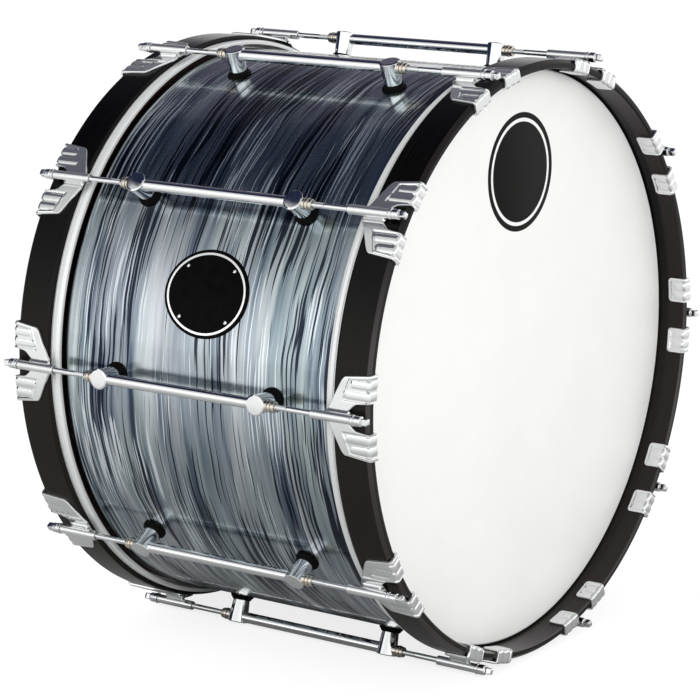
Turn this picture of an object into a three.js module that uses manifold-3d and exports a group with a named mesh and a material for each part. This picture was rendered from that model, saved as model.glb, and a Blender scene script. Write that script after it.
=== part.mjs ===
// Marching bass drum, 22 in across and 14 in deep, built as loose pieces.
// Millimetres. The drum's axis is X, its badge faces -Y, up is +Z, and it stands at z = 0
// on the rims of its four lowest lug posts.
import * as THREE from 'three';
import { mergeVertices } from 'three/addons/utils/BufferGeometryUtils.js';
import Module from 'manifold-3d';

const wasm = await Module();
wasm.setup();

// Shell and wrap
const shellDiameter = 558.8;
const shellDepth = 355.6;
const shellWall = 7.2;
const wrapThickness = 0.5;
const wrapSetback = 18;
const bearingInset = 2.4;
const bearingRound = 2.2;

// Heads: film, flesh hoop and counter hoop
const filmThickness = 0.4;
const fleshShellGap = 2.2;
const fleshWidth = 6.2;
const fleshHeight = 10.3;
const fleshWall = 2.8;
const fleshFloor = 2.4;
const hoopDepth = 39.2;
const hoopWall = 8.8;
const hoopOverhang = 4;
const hoopStandout = 29.6;
const hoopEdge = 2.5;

// Tension rods
const lugCount = 10;
const rodStandoff = 9.3;
const rodRadius = 2.75;
const rodReach = 12.2;
const rodCollarRadius = 5.1;
const rodCollarLength = 10.1;
const rodKeySize = 6.4;
const rodKeyLength = 7.2;

// Claws
const clawWall = 2.2;
const clawLift = 0.5;
const sleeveRadius = 4.6;
const sleeveLength = 44.6;
const sleeveSetback = 11.2;
const prongInner = 14;
const prongWidth = 25.5;
const prongPadDepth = 17.4;
const notchDepth = 13.4;
const notchNarrowing = 2;
const shoulderDepth = 27.8;
const shoulderNarrowing = 3.5;
const rootHalfWidth = 6;
const rootBackDepth = 42.4;
const rootFrontDepth = 19.4;
const webHalfWidth = 2.6;

// Tube lugs
const lugPostSpacing = 184.4;
const capStandoff = 6.8;
const capRadius = 10.2;
const capRim = 2;
const neckRadius = 8.2;
const gasketRadius = 11.6;
const gasketHeight = 4.5;
const gasketTaper = 2;
const tubeRadius = 5.5;
const nutRadius = 6;
const nutReach = 9.5;
const boreDepth = 6;
const screwRadius = 2.5;
const screwHeadRadius = 6.5;
const screwHeadHeight = 4;

// Badge plate
const badgeWidth = 97;
const badgeHeight = 84;
const badgeThickness = 1.2;
const badgeOffset = 6;
const badgePitchShare = 2.5;

// Fits and facets
const clearance = 0.3;
const overrun = 2;
const ringSides = 40;
const postSides = 8;
const rodSides = 8;
const tubeSides = 8;
const screwSides = 6;
const badgeSides = 20;
const badgeSteps = 8;
const clawSteps = 4;

// Angles: lugs are even round the shell, and two of them straddle the top and the bottom
const lugPitch = (2 * Math.PI) / lugCount;
const firstLugAngle = -lugPitch / 2;
const facetTurn = Math.PI / ringSides;
const ringStart = firstLugAngle + facetTurn;

// Radii that follow from the sizes above
const wrapOuter = shellDiameter / 2;
const wrapInner = wrapOuter - wrapThickness;
const shellOuter = wrapInner - clearance;
const shellInner = shellOuter - shellWall;
const bearingRadius = shellOuter - bearingInset;
const fleshInner = wrapOuter + fleshShellGap;
const fleshOuter = fleshInner + fleshWidth;
const hoopOuter = fleshOuter + hoopOverhang;
const hoopInner = hoopOuter - hoopWall;
const rodCircle = hoopOuter + rodStandoff;
const capFace = rodCircle + capStandoff;

// Places along the axis, measured from the middle of the drum
const bearingX = shellDepth / 2;
const hoopFace = bearingX + hoopStandout;
const hoopBack = hoopFace - hoopDepth;
const fleshTop = hoopBack - clearance;
const fleshBottom = fleshTop - fleshHeight;
const sleeveOut = hoopFace - sleeveSetback;
const sleeveIn = sleeveOut - sleeveLength;
const postX = lugPostSpacing / 2;
const rodInnerEnd = postX - rodReach;
const clawFace = hoopFace + clearance + clawWall;

// The rim of a post cap slopes so that the lowest posts stand on a level facet
const facetShare = (sides) => Math.cos(Math.PI / sides);
const capFlatRadius = capRadius - capRim;
const capDrop = capRim * facetShare(postSides) * Math.tan(lugPitch / 2);
const restDepth = capFace * Math.cos(lugPitch / 2)
  + capFlatRadius * facetShare(postSides) * Math.sin(lugPitch / 2);

// Turns a closed three.js mesh into a solid that can be cut and joined
function solid(geometry) {
  geometry.deleteAttribute('normal');
  geometry.deleteAttribute('uv');
  const merged = mergeVertices(geometry);
  return new wasm.Manifold(new wasm.Mesh({
    numProp: 3,
    vertProperties: new Float32Array(merged.attributes.position.array),
    triVerts: new Uint32Array(merged.index.array),
  }));
}

// Turns a finished solid back into a three.js mesh geometry
function geometryOf(shape) {
  const mesh = shape.getMesh();
  const geometry = new THREE.BufferGeometry();
  geometry.setAttribute('position', new THREE.BufferAttribute(mesh.vertProperties, 3));
  geometry.setIndex(new THREE.BufferAttribute(mesh.triVerts, 1));
  geometry.computeVertexNormals();
  return geometry;
}

// A ring or disc round the X axis; the profile is a list of [radius, x], walked anticlockwise
function turned(profile, sides, startAngle) {
  const points = profile.map(([radius, x]) => new THREE.Vector2(radius, x));
  const geometry = new THREE.LatheGeometry(points, sides, startAngle);
  geometry.rotateZ(-Math.PI / 2);
  return solid(geometry);
}

// A ring whose profile closes on itself, with a flat facet at every lug
function ring(profile) {
  return turned([...profile, profile[0]], ringSides, ringStart);
}

// A round bar along X from one place to another, at a height above the drum's axis
function barAlongX(radius, fromX, toX, height, sides) {
  const geometry = new THREE.CylinderGeometry(radius, radius, toX - fromX, sides);
  geometry.rotateY(Math.PI / sides);
  geometry.rotateZ(-Math.PI / 2);
  geometry.translate((fromX + toX) / 2, 0, height);
  return solid(geometry);
}

// A post that stands out from the drum; the profile is a list of [radius, height]
function postAlongZ(profile, x, sides) {
  const points = profile.map(([radius, height]) => new THREE.Vector2(radius, height));
  const geometry = new THREE.LatheGeometry(points, sides, Math.PI / sides);
  geometry.rotateX(Math.PI / 2);
  geometry.translate(x, 0, 0);
  return solid(geometry);
}

function box(fromX, toX, width, fromZ, toZ) {
  const geometry = new THREE.BoxGeometry(toX - fromX, width, toZ - fromZ);
  geometry.translate((fromX + toX) / 2, 0, (fromZ + toZ) / 2);
  return solid(geometry);
}

// A curved slab that follows a circle round the drum's axis, centred on the local Z axis
function arcSlab(innerRadius, outerRadius, fromX, toX, halfAngle, steps) {
  const at = (radius, k) => {
    const angle = halfAngle * ((2 * k) / steps - 1);
    return new THREE.Vector2(radius * Math.sin(angle), radius * Math.cos(angle));
  };
  const marks = [...Array(steps + 1).keys()];
  const outline = marks.map((k) => at(innerRadius, k));
  outline.push(...marks.reverse().map((k) => at(outerRadius, k)));
  const options = { depth: toX - fromX, bevelEnabled: false };
  const geometry = new THREE.ExtrudeGeometry(new THREE.Shape(outline), options);
  const across = new THREE.Vector3(0, 1, 0);
  const up = new THREE.Vector3(0, 0, 1);
  const along = new THREE.Vector3(1, 0, 0);
  geometry.applyMatrix4(new THREE.Matrix4().makeBasis(across, up, along));
  geometry.translate(fromX, 0, 0);
  return solid(geometry);
}

// A straight-sided cutter: an outline of [x, y] points that runs from one height to another
function prism(outline, fromZ, toZ) {
  const shape = new THREE.Shape(outline.map(([x, y]) => new THREE.Vector2(x, y)));
  const options = { depth: toZ - fromZ, bevelEnabled: false };
  const geometry = new THREE.ExtrudeGeometry(shape, options);
  geometry.translate(0, 0, fromZ);
  return solid(geometry);
}

// Shifts a path of [radius, x] points sideways, away from the axis and the drum's middle
function offsetPath(path, distance) {
  const normals = path.slice(1).map(([radius, x], k) => {
    const edge = new THREE.Vector2(radius - path[k][0], x - path[k][1]).normalize();
    return new THREE.Vector2(-edge.y, edge.x);
  });
  return path.map(([radius, x], k) => {
    const before = normals[Math.max(k - 1, 0)];
    const after = normals[Math.min(k, normals.length - 1)];
    const mitre = before.clone().add(after).normalize();
    const reach = distance / mitre.dot(after);
    return [radius + mitre.x * reach, x + mitre.y * reach];
  });
}

function shellSolid() {
  const bevelX = bearingX - (bearingRadius - shellInner);
  const roundX = bearingX - bearingRound;
  return ring([
    [shellOuter, -roundX], [shellOuter, roundX], [bearingRadius, bearingX],
    [shellInner, bevelX], [shellInner, -bevelX], [bearingRadius, -bearingX],
  ]);
}

function wrapSolid() {
  const edge = bearingX - wrapSetback;
  return ring([[wrapOuter, -edge], [wrapOuter, edge], [wrapInner, edge], [wrapInner, -edge]]);
}

// The holes that the lug screws pass through
function lugHoles() {
  const radius = screwRadius + clearance;
  const depth = [[0, 0], [radius, 0], [radius, capFace], [0, capFace]];
  const holes = [];
  for (let k = 0; k < lugCount; k += 1) {
    for (const side of [-1, 1]) {
      const turn = THREE.MathUtils.radToDeg(firstLugAngle + lugPitch * k);
      holes.push(postAlongZ(depth, side * postX, screwSides).rotate([turn, 0, 0]));
    }
  }
  return holes.reduce((all, hole) => all.add(hole));
}

function counterHoop() {
  return ring([
    [hoopOuter, hoopBack], [hoopOuter, hoopFace - hoopEdge], [hoopOuter - hoopEdge, hoopFace],
    [hoopInner + hoopEdge, hoopFace], [hoopInner, hoopFace - hoopEdge], [hoopInner, hoopBack],
  ]);
}

// The channel that the hoop presses on. The film's collar stands in it, passes inside the
// hoop and ends at the rim of the film.
function fleshHoop() {
  const floorTop = fleshBottom + fleshFloor;
  const channel = fleshOuter - fleshWall;
  const sideRoom = 2 * (clearance + filmThickness);
  const path = [
    [bearingRadius, bearingX], [shellOuter, bearingX - bearingRound],
    [hoopInner - sideRoom, hoopBack], [channel - sideRoom, floorTop - filmThickness],
  ];
  const under = offsetPath(path, clearance);
  const over = offsetPath(path, clearance + filmThickness);
  return ring([
    [fleshOuter, fleshBottom], [fleshOuter, fleshTop], [channel, fleshTop],
    [channel, floorTop], [fleshInner, floorTop], [fleshInner, fleshBottom],
  ]).add(ring([...under, ...over.reverse()]));
}

// The flat of the film, which rests on the bearing edge
function headFilm() {
  const rest = bearingX + clearance;
  const face = rest + filmThickness;
  const profile = [[0, rest], [bearingRadius, rest], [bearingRadius, face], [0, face]];
  return turned(profile, ringSides, ringStart);
}

// The claw's wings as seen from outside the drum, one half, as [x, distance from the middle]
function clawHalfOutline() {
  const prongOuter = prongInner + prongWidth;
  return [
    [hoopFace - rootFrontDepth, rootHalfWidth],
    [hoopFace - notchDepth, prongInner - notchNarrowing],
    [clawFace, prongInner],
    [clawFace, prongOuter],
    [hoopFace - shoulderDepth, prongOuter - shoulderNarrowing],
    [hoopFace - rootBackDepth, rootHalfWidth],
  ];
}

function claw() {
  const half = clawHalfOutline();
  const mirrored = half.map(([x, y]) => [x, -y]).reverse();
  const wingsBottom = hoopOuter + clawLift;
  const wingsTop = wingsBottom + clawWall;
  const padTop = hoopInner * facetShare(ringSides) - clearance;
  const padBottom = padTop - clawWall;
  const prongOuter = prongInner + prongWidth;
  const halfAngle = Math.asin(prongOuter / padBottom) * (1 + 1 / clawSteps);
  const wings = arcSlab(wingsBottom, wingsTop, hoopFace - rootBackDepth - overrun, clawFace,
    halfAngle, clawSteps);
  const lip = arcSlab(padBottom, wingsTop, hoopFace + clearance, clawFace, halfAngle, clawSteps);
  const pad = arcSlab(padBottom, padTop, hoopFace - prongPadDepth, clawFace, halfAngle, clawSteps);
  const outline = prism([...half, ...mirrored], padBottom - overrun, wingsTop + overrun);
  const prongSpan = [
    [hoopFace - prongPadDepth, prongInner], [clawFace + overrun, prongInner],
    [clawFace + overrun, prongOuter], [hoopFace - prongPadDepth, prongOuter],
  ];
  const otherSpan = prongSpan.map(([x, y]) => [x, -y]).reverse();
  const prongs = prism(prongSpan, padBottom - overrun, wingsTop + overrun)
    .add(prism(otherSpan, padBottom - overrun, wingsTop + overrun));
  const sleeve = barAlongX(sleeveRadius, sleeveIn, sleeveOut, rodCircle, tubeSides);
  const web = box(hoopFace - rootBackDepth, hoopFace - rootFrontDepth, 2 * webHalfWidth,
    wingsBottom + clawWall / 2, rodCircle);
  const boreRadius = (rodRadius + clearance) / facetShare(rodSides);
  const bore = barAlongX(boreRadius, sleeveIn - overrun, sleeveOut + overrun, rodCircle, rodSides);
  return wings.intersect(outline)
    .add(lip.add(pad).intersect(prongs))
    .add(sleeve)
    .add(web)
    .subtract(bore);
}

// A tension rod: threaded shank, collar that bears on the claw's sleeve, square key head
function tensionRod() {
  const collarIn = sleeveOut + clearance;
  const collarOut = collarIn + rodCollarLength;
  const body = turned([
    [0, rodInnerEnd], [rodRadius, rodInnerEnd], [rodRadius, collarIn],
    [rodCollarRadius, collarIn], [rodCollarRadius, collarOut], [0, collarOut],
  ], rodSides, Math.PI / rodSides).translate([0, 0, rodCircle]);
  const key = box(collarOut - clearance, collarOut + rodKeyLength, rodKeySize,
    rodCircle - rodKeySize / 2, rodCircle + rodKeySize / 2);
  return body.add(key);
}

// A tube lug: two waisted posts on gaskets, the tube between them, and a nut at each end
function tubeLug() {
  const base = wrapOuter * facetShare(ringSides) + clearance;
  const inside = shellInner * facetShare(ringSides) - clearance;
  const post = [
    [0, base], [gasketRadius, base], [gasketRadius - gasketTaper, base + gasketHeight],
    [neckRadius, base + gasketHeight], [capRadius, capFace - capDrop],
    [capFlatRadius, capFace], [0, capFace],
  ];
  const screw = [
    [0, inside - screwHeadHeight], [screwHeadRadius, inside - screwHeadHeight],
    [screwHeadRadius, inside], [screwRadius, inside],
    [screwRadius, base + gasketHeight], [0, base + gasketHeight],
  ];
  const nutEnd = postX + capRadius + nutReach;
  const boreEnd = rodInnerEnd - boreDepth;
  const boreRadius = (rodRadius + clearance) / facetShare(rodSides);
  let lug = barAlongX(tubeRadius, -postX, postX, rodCircle, tubeSides);
  for (const side of [-1, 1]) {
    const [nutFrom, nutTo] = [side * postX, side * nutEnd].sort((a, b) => a - b);
    lug = lug.add(postAlongZ(post, side * postX, postSides))
      .add(postAlongZ(screw, side * postX, screwSides))
      .add(barAlongX(nutRadius, nutFrom, nutTo, rodCircle, rodSides));
  }
  for (const side of [-1, 1]) {
    const [from, to] = [side * boreEnd, side * (nutEnd + overrun)].sort((a, b) => a - b);
    lug = lug.subtract(barAlongX(boreRadius, from, to, rodCircle, rodSides));
  }
  return lug;
}

// A plain oval plate, curved to the shell
function badgePlate() {
  const inner = wrapOuter + clearance;
  const outer = inner + badgeThickness;
  const halfAngle = badgeHeight / 2 / inner + facetTurn / badgeSteps;
  const [left, right] = [-1, 1].map((side) => badgeOffset + (side * badgeWidth) / 2);
  const slab = arcSlab(inner, outer, left, right, halfAngle, badgeSteps);
  const outline = [...Array(badgeSides).keys()].map((k) => {
    const angle = (2 * Math.PI * k) / badgeSides;
    return [
      badgeOffset + (badgeWidth / 2) * Math.cos(angle),
      (badgeHeight / 2) * Math.sin(angle),
    ];
  });
  return slab.intersect(prism(outline, shellInner, outer + overrun));
}

const finish = (color, roughness, metalness) => ({ color, roughness, metalness });
const woodFinish = finish('#8a4b2a', 0.55, 0);
const wrapFinish = finish('#66737f', 0.18, 0.1);
const hoopFinish = finish('#1d1a19', 0.22, 0);
const filmFinish = finish('#f4f4f1', 0.45, 0);
const ringFinish = finish('#c9ccce', 0.35, 0.9);
const chromeFinish = finish('#d8dbdd', 0.12, 1);
const steelFinish = finish('#c4c7c9', 0.25, 1);
const badgeFinish = finish('#17181b', 0.3, 0.2);

const drum = new THREE.Group();
drum.position.z = restDepth;

function place(name, geometry, looks, angle, side) {
  const mesh = new THREE.Mesh(geometry, new THREE.MeshStandardMaterial(looks));
  mesh.name = name;
  mesh.rotation.set(angle, 0, side > 0 ? 0 : Math.PI);
  drum.add(mesh);
}

const holes = lugHoles();
place('shell', geometryOf(shellSolid().subtract(holes)), woodFinish, 0, 1);
place('wrap', geometryOf(wrapSolid().subtract(holes)), wrapFinish, 0, 1);

const hoopGeometry = geometryOf(counterHoop());
const fleshGeometry = geometryOf(fleshHoop());
const filmGeometry = geometryOf(headFilm());
const clawGeometry = geometryOf(claw());
const rodGeometry = geometryOf(tensionRod());
const lugGeometry = geometryOf(tubeLug());

const lugNumbers = [...Array(lugCount).keys()];
const twoDigits = (k) => String(k + 1).padStart(2, '0');
for (const [sideName, side] of [['right', 1], ['left', -1]]) {
  place(`${sideName}_hoop`, hoopGeometry, hoopFinish, 0, side);
  place(`${sideName}_flesh_hoop`, fleshGeometry, ringFinish, 0, side);
  place(`${sideName}_head_film`, filmGeometry, filmFinish, 0, side);
  for (const k of lugNumbers) {
    const angle = firstLugAngle + lugPitch * k;
    place(`${sideName}_claw_${twoDigits(k)}`, clawGeometry, chromeFinish, angle, side);
    place(`${sideName}_rod_${twoDigits(k)}`, rodGeometry, steelFinish, angle, side);
  }
}
for (const k of lugNumbers) {
  place(`tube_lug_${twoDigits(k)}`, lugGeometry, chromeFinish, firstLugAngle + lugPitch * k, 1);
}
place('badge_plate', geometryOf(badgePlate()), badgeFinish,
  firstLugAngle + lugPitch * badgePitchShare, 1);

export default drum;
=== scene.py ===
# %% [markdown]
# # A marching bass drum
# The construction comes in as a fixed frame, already in metres. This lesson dresses it:
# every ring, casting and rod of the frame is remade as a fine mesh with its own finish.

# %% The frame
import math
import bmesh
import bpy
from mathutils import Matrix, Vector


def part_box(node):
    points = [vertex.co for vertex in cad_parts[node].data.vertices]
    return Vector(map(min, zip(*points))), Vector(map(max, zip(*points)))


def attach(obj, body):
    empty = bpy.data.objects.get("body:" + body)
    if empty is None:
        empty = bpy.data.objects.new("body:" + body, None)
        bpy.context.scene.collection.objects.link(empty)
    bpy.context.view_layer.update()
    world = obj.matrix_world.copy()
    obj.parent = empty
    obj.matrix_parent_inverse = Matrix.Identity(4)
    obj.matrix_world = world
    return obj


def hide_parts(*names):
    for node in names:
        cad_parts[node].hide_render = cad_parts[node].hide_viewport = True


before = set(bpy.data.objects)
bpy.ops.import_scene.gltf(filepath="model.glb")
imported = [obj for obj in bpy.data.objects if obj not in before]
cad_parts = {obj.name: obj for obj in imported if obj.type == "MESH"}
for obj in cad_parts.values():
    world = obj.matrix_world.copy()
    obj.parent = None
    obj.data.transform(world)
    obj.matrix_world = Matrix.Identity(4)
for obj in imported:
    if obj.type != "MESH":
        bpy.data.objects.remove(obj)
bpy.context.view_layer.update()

# %% [markdown]
# ## Sizes taken from the frame
# The drum is turned about the X axis, so each of its rings is known by four numbers: an inner
# and an outer radius and two places along the axis. They could be typed in again, but then
# they would drift apart from the frame. Measuring the frame's own corners keeps them true.
# Shapes are written in millimetres, as on a maker's drawing, and scaled when they become a mesh.

# %% Measuring rings
MM = 0.001
axis_height = sum(p.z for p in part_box("wrap")) / 2


def ring_size(node):
    """Inner radius, outer radius, lowest x and highest x of a turned node, in millimetres."""
    corners = [v.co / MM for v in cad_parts[node].data.vertices]
    radii = [math.hypot(c.y, c.z - axis_height / MM) for c in corners]
    along = [c.x for c in corners]
    return min(radii), max(radii), min(along), max(along)


shell_in, shell_out, _, shell_end = ring_size("shell")
wrap_in, wrap_out, _, wrap_end = ring_size("wrap")
hoop_in, hoop_out, hoop_back, hoop_face = ring_size("right_hoop")
_, flesh_out, flesh_bottom, _ = ring_size("right_flesh_hoop")
*_, film_top = ring_size("right_head_film")
print("axis height", round(axis_height, 4), "wrap radius", round(wrap_out, 2))
print("hoop from", round(hoop_back, 2), "to", round(hoop_face, 2), "radius", round(hoop_out, 2))

# %% Where the lugs stand
LUG_COUNT = 10
lug_pitch = 2 * math.pi / LUG_COUNT
lug_angles = [lug_pitch * (k - 0.5) for k in range(LUG_COUNT)]
SIDES = (("right", 0.0), ("left", math.pi))


def stand(angle=0.0, turned_round=0.0):
    """The place of a shape drawn at the top of the drum, for a lug angle and a side."""
    return (Matrix.Translation((0, 0, axis_height)) @ Matrix.Rotation(angle, 4, "X")
            @ Matrix.Rotation(turned_round, 4, "Z"))


print("lugs at", [round(math.degrees(a)) for a in lug_angles], "degrees")

# %% [markdown]
# ## Camera
# A long lens a good way off keeps the drum's ends nearly the same size, as a product picture
# does. The camera turns round the drum's middle: azimuth 0 would look along +Y.

# %% Camera
CAMERA_AZIMUTH = math.radians(35.34)
CAMERA_ELEVATION = math.radians(12.12)
CAMERA_ROLL = math.radians(0.13)
CAMERA_DISTANCE = 2.8765
CAMERA_ASIDE = -0.0162
CAMERA_ABOVE = -0.0134
FOCAL_PIXELS = 2858.0
IMAGE_PIXELS = 700
SENSOR = 36.0


def make_camera():
    """A pinhole camera that looks at the drum's middle, a little aside of it."""
    azimuth, elevation = CAMERA_AZIMUTH, CAMERA_ELEVATION
    back = Vector((math.sin(azimuth) * math.cos(elevation),
                   -math.cos(azimuth) * math.cos(elevation), math.sin(elevation)))
    right = Vector((math.cos(azimuth), math.sin(azimuth), 0))
    up = back.cross(right)
    turn = Matrix((right, up, back)).transposed() @ Matrix.Rotation(CAMERA_ROLL, 3, "Z")
    centre = Vector((0, 0, axis_height))
    place = centre + turn @ Vector((CAMERA_ASIDE, CAMERA_ABOVE, CAMERA_DISTANCE))
    data = bpy.data.cameras.new("camera")
    data.sensor_width = SENSOR
    data.lens = FOCAL_PIXELS / IMAGE_PIXELS * SENSOR
    data.clip_end = 50
    camera = bpy.data.objects.new("camera", data)
    camera.matrix_world = Matrix.Translation(place) @ turn.to_4x4()
    bpy.context.scene.collection.objects.link(camera)
    bpy.context.scene.camera = camera
    return camera


camera = make_camera()
print("camera at", [round(v, 3) for v in camera.matrix_world.translation])

# %% [markdown]
# ## Writing finishes as sums
# A finish is a small network of nodes. Wiring it by hand in the editor hides the idea, and
# wiring it line by line in code is long, so three helpers are made here. `Value` wraps one
# output and turns +, - and * into Math nodes; `Network` adds any other node from its type, its
# settings and its inputs; `Finish` is a network for one material.

# %% Value


class Value:
    """One output of a node tree, with arithmetic that adds Math nodes."""

    def __init__(self, network, socket):
        self.network = network
        self.socket = socket

    def math(self, operation, *others, clamp=False):
        return self.network.node("ShaderNodeMath", {"operation": operation, "use_clamp": clamp},
                                 dict(enumerate((self, *others))))

    def __add__(self, other):
        return self.math("ADD", other)

    def __sub__(self, other):
        return self.math("SUBTRACT", other)

    def __mul__(self, other):
        return self.math("MULTIPLY", other)


print("a Value turns +, - and * into Math nodes")

# %% Network


class Network:
    """A node tree whose nodes are added one call at a time."""

    def __init__(self, tree):
        self.tree = tree

    def node(self, kind, settings=None, inputs=None, output=0):
        """Adds a node, sets it up, plugs its inputs and hands back one of its outputs."""
        made = self.tree.nodes.new(kind)
        for key, setting in (settings or {}).items():
            if key == "stops":
                self.set_stops(made.color_ramp, setting)
            else:
                setattr(made, key, setting)
        for key, value in (inputs or {}).items():
            self.plug(made.inputs[key], value)
        return Value(self, made.outputs[output]) if made.outputs else made

    def plug(self, socket, value):
        """Links a value to a socket, or types a number or a colour into it."""
        if isinstance(value, Value):
            self.tree.links.new(value.socket, socket)
        elif hasattr(socket.default_value, "__len__") and len(value) < len(socket.default_value):
            socket.default_value = (*value, 1)
        else:
            socket.default_value = value

    def set_stops(self, ramp, stops):
        """Fills a colour ramp from pairs of a place and a colour."""
        while len(ramp.elements) > 1:
            ramp.elements.remove(ramp.elements[-1])
        for k, (place, color) in enumerate(stops):
            element = ramp.elements[0] if k == 0 else ramp.elements.new(place)
            element.position = place
            element.color = (*color, 1)

    def stretched(self, point, scale):
        """A point or a colour, multiplied channel by channel."""
        return self.node("ShaderNodeVectorMath", {"operation": "MULTIPLY"}, {0: point, 1: scale})

    def split(self, vector):
        return [self.node("ShaderNodeSeparateXYZ", {}, {0: vector}, axis) for axis in range(3)]

    def joined(self, x, y, z):
        return self.node("ShaderNodeCombineXYZ", {}, {0: x, 1: y, 2: z})

    def noise(self, point, scale=1.0, detail=2.0, roughness=0.5):
        """Soft noise from 0 to 1, crowded round its middle."""
        return self.node("ShaderNodeTexNoise", {}, {
            "Vector": point, "Scale": scale, "Detail": detail, "Roughness": roughness}, "Fac")

    def ramp(self, factor, stops):
        return self.node("ShaderNodeValToRGB", {"stops": stops}, {"Fac": factor}, "Color")

    def mix(self, factor, first, second):
        return self.node("ShaderNodeMix", {"data_type": "RGBA"},
                         {"Factor": factor, 6: first, 7: second}, 2)

    def span(self, factor, low, high, to_low=0.0, to_high=1.0, kind="LINEAR"):
        """Maps one range of a value to another, held at its ends."""
        return self.node("ShaderNodeMapRange", {"clamp": True, "interpolation_type": kind},
                         {"Value": factor, "From Min": low, "From Max": high,
                          "To Min": to_low, "To Max": to_high}, "Result")


print("a Network knows", [name for name in vars(Network) if not name.startswith("_")])

# %% Finish


class Finish(Network):
    """A material: a network that ends in one Principled shader."""

    def __init__(self, name, **sockets):
        self.material = bpy.data.materials.new(name)
        self.material.use_nodes = True
        super().__init__(self.material.node_tree)
        self.shader = self.tree.nodes["Principled BSDF"]
        self.set(**sockets)

    def place(self):
        """The point being shaded, in metres, measured from the drum's middle."""
        return self.node("ShaderNodeTexCoord", {}, {}, "Object")

    def set(self, **sockets):
        """Plugs the shader's sockets by name: base_color stands for Base Color."""
        for name, value in sockets.items():
            words = name.replace("_", " ").title().replace("Ior", "IOR")
            self.plug(self.shader.inputs[words], value)

    def bump(self, height, strength, distance):
        """Lets a height bend the light, as if the surface rose and fell."""
        self.set(normal=self.node("ShaderNodeBump", {}, {"Height": height, "Strength": strength,
                                                          "Distance": distance}, "Normal"))


print("a Finish has every tool of a Network, and", [
    name for name in vars(Finish) if not name.startswith("_")])

# %% [markdown]
# ## Writing shapes as outlines
# Nearly everything on a drum is turned, drawn or bent from a strip. Instead of starting from
# ready-made cylinders, an outline is drawn, its corners are rounded as a tool would leave
# them, and it is swept. `Shape` gathers the swept grids and turns them into one mesh.

# %% Outlines with rounded corners
STEADY_SHARE = 0.35


def softened(corners, steps=4, closed=True):
    """Rounds the corners (x, y, radius) of an outline; a point on each side steadies the light."""
    outline = []
    count = len(corners)
    for k, (x, y, radius) in enumerate(corners):
        here = Vector((x, y))
        if radius == 0 or (not closed and k in (0, count - 1)):
            outline.append(here)
            continue
        before = (Vector(corners[k - 1][:2]) - here).normalized()
        after = (Vector(corners[(k + 1) % count][:2]) - here).normalized()
        half = before.angle(after) / 2
        start, end = (here + way * radius / math.tan(half) for way in (before, after))
        centre = here + (before + after).normalized() * radius / math.sin(half)
        arm, last = start - centre, end - centre
        turn = math.atan2(arm.x * last.y - arm.y * last.x, arm.dot(last))
        outline.append(start + before * radius * STEADY_SHARE)
        for i in range(steps + 1):
            c, s = math.cos(turn * i / steps), math.sin(turn * i / steps)
            outline.append(centre + Vector((arm.x * c - arm.y * s, arm.x * s + arm.y * c)))
        outline.append(end + after * radius * STEADY_SHARE)
    return outline


tile = [(0, 0, 1), (9, 0, 1), (9, 9, 1), (0, 9, 1)]
print("a square of", len(tile), "corners has", len(softened(tile)), "points when softened")

# %% Shapes swept from outlines
SHARP_ANGLE = 42
MERGE_DISTANCE = 1e-6


def about_axis(along, u, v):
    """Sweeps round the drum's own axis, which runs along X."""
    return along, -u, v


class Shape:
    """Points in millimetres and faces, gathered until they become one mesh."""

    def __init__(self):
        self.points = []
        self.faces = []

    def sheet(self, rows, rows_meet=False, columns_meet=True, caps=False):
        """Adds a grid of points, joined to itself in either direction."""
        first, height, width = len(self.points), len(rows), len(rows[0])
        self.points += [point for row in rows for point in row]
        for i in range(height if rows_meet else height - 1):
            for j in range(width if columns_meet else width - 1):
                a, b = first + i * width, first + (i + 1) % height * width
                k = (j + 1) % width
                self.faces.append((a + j, a + k, b + k, b + j))
        if caps:
            self.faces.append(tuple(range(first, first + width)))
            self.faces.append(tuple(range(first + (height - 1) * width, len(self.points))))
        return self

    def turned(self, outline, place=about_axis, steps=48, closed=False):
        """Sweeps an outline of (along, radius) all the way round."""
        angles = [2 * math.pi * k / steps for k in range(steps)]
        rows = [[place(along, radius * math.sin(a), radius * math.cos(a)) for a in angles]
                for along, radius in outline]
        return self.sheet(rows, rows_meet=closed)

    def mesh(self, name, sharp=SHARP_ANGLE):
        """One mesh in metres, faces outward, smooth except at edges over the sharp angle."""
        mesh = bpy.data.meshes.new(name)
        mesh.from_pydata([Vector(p) * MM for p in self.points], [], self.faces)
        work = bmesh.new()
        work.from_mesh(mesh)
        bmesh.ops.remove_doubles(work, verts=work.verts, dist=MERGE_DISTANCE)
        bmesh.ops.recalc_face_normals(work, faces=work.faces)
        work.to_mesh(mesh)
        work.free()
        mesh.shade_smooth()
        mesh.set_sharp_from_angle(angle=math.radians(sharp))
        return mesh


print("a Shape knows", [name for name in vars(Shape) if not name.startswith("_")])

# %% Pieces that ride on the frame


def piece(name, mesh, finish, body, place=None, replaces=()):
    """Stands a mesh in its place, gives it a finish and lets it ride on a body of the frame."""
    made = bpy.data.objects.new(name, mesh)
    bpy.context.scene.collection.objects.link(made)
    made.matrix_world = place or stand()
    if not mesh.materials:
        mesh.materials.append(finish.material)
    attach(made, body)
    if replaces:
        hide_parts(*replaces)


# %% [markdown]
# ## Chrome and bright steel
# The lugs and claws are castings, polished and plated. Plating is a mirror, so what shows is
# the room, slightly bent by the casting's long soft waves. A plain metal would reflect too
# evenly; faint noise in the roughness and a very shallow bump give the cast look.

# %% Chrome
POLISH_MARKS = (900, 240, 240)


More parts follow.
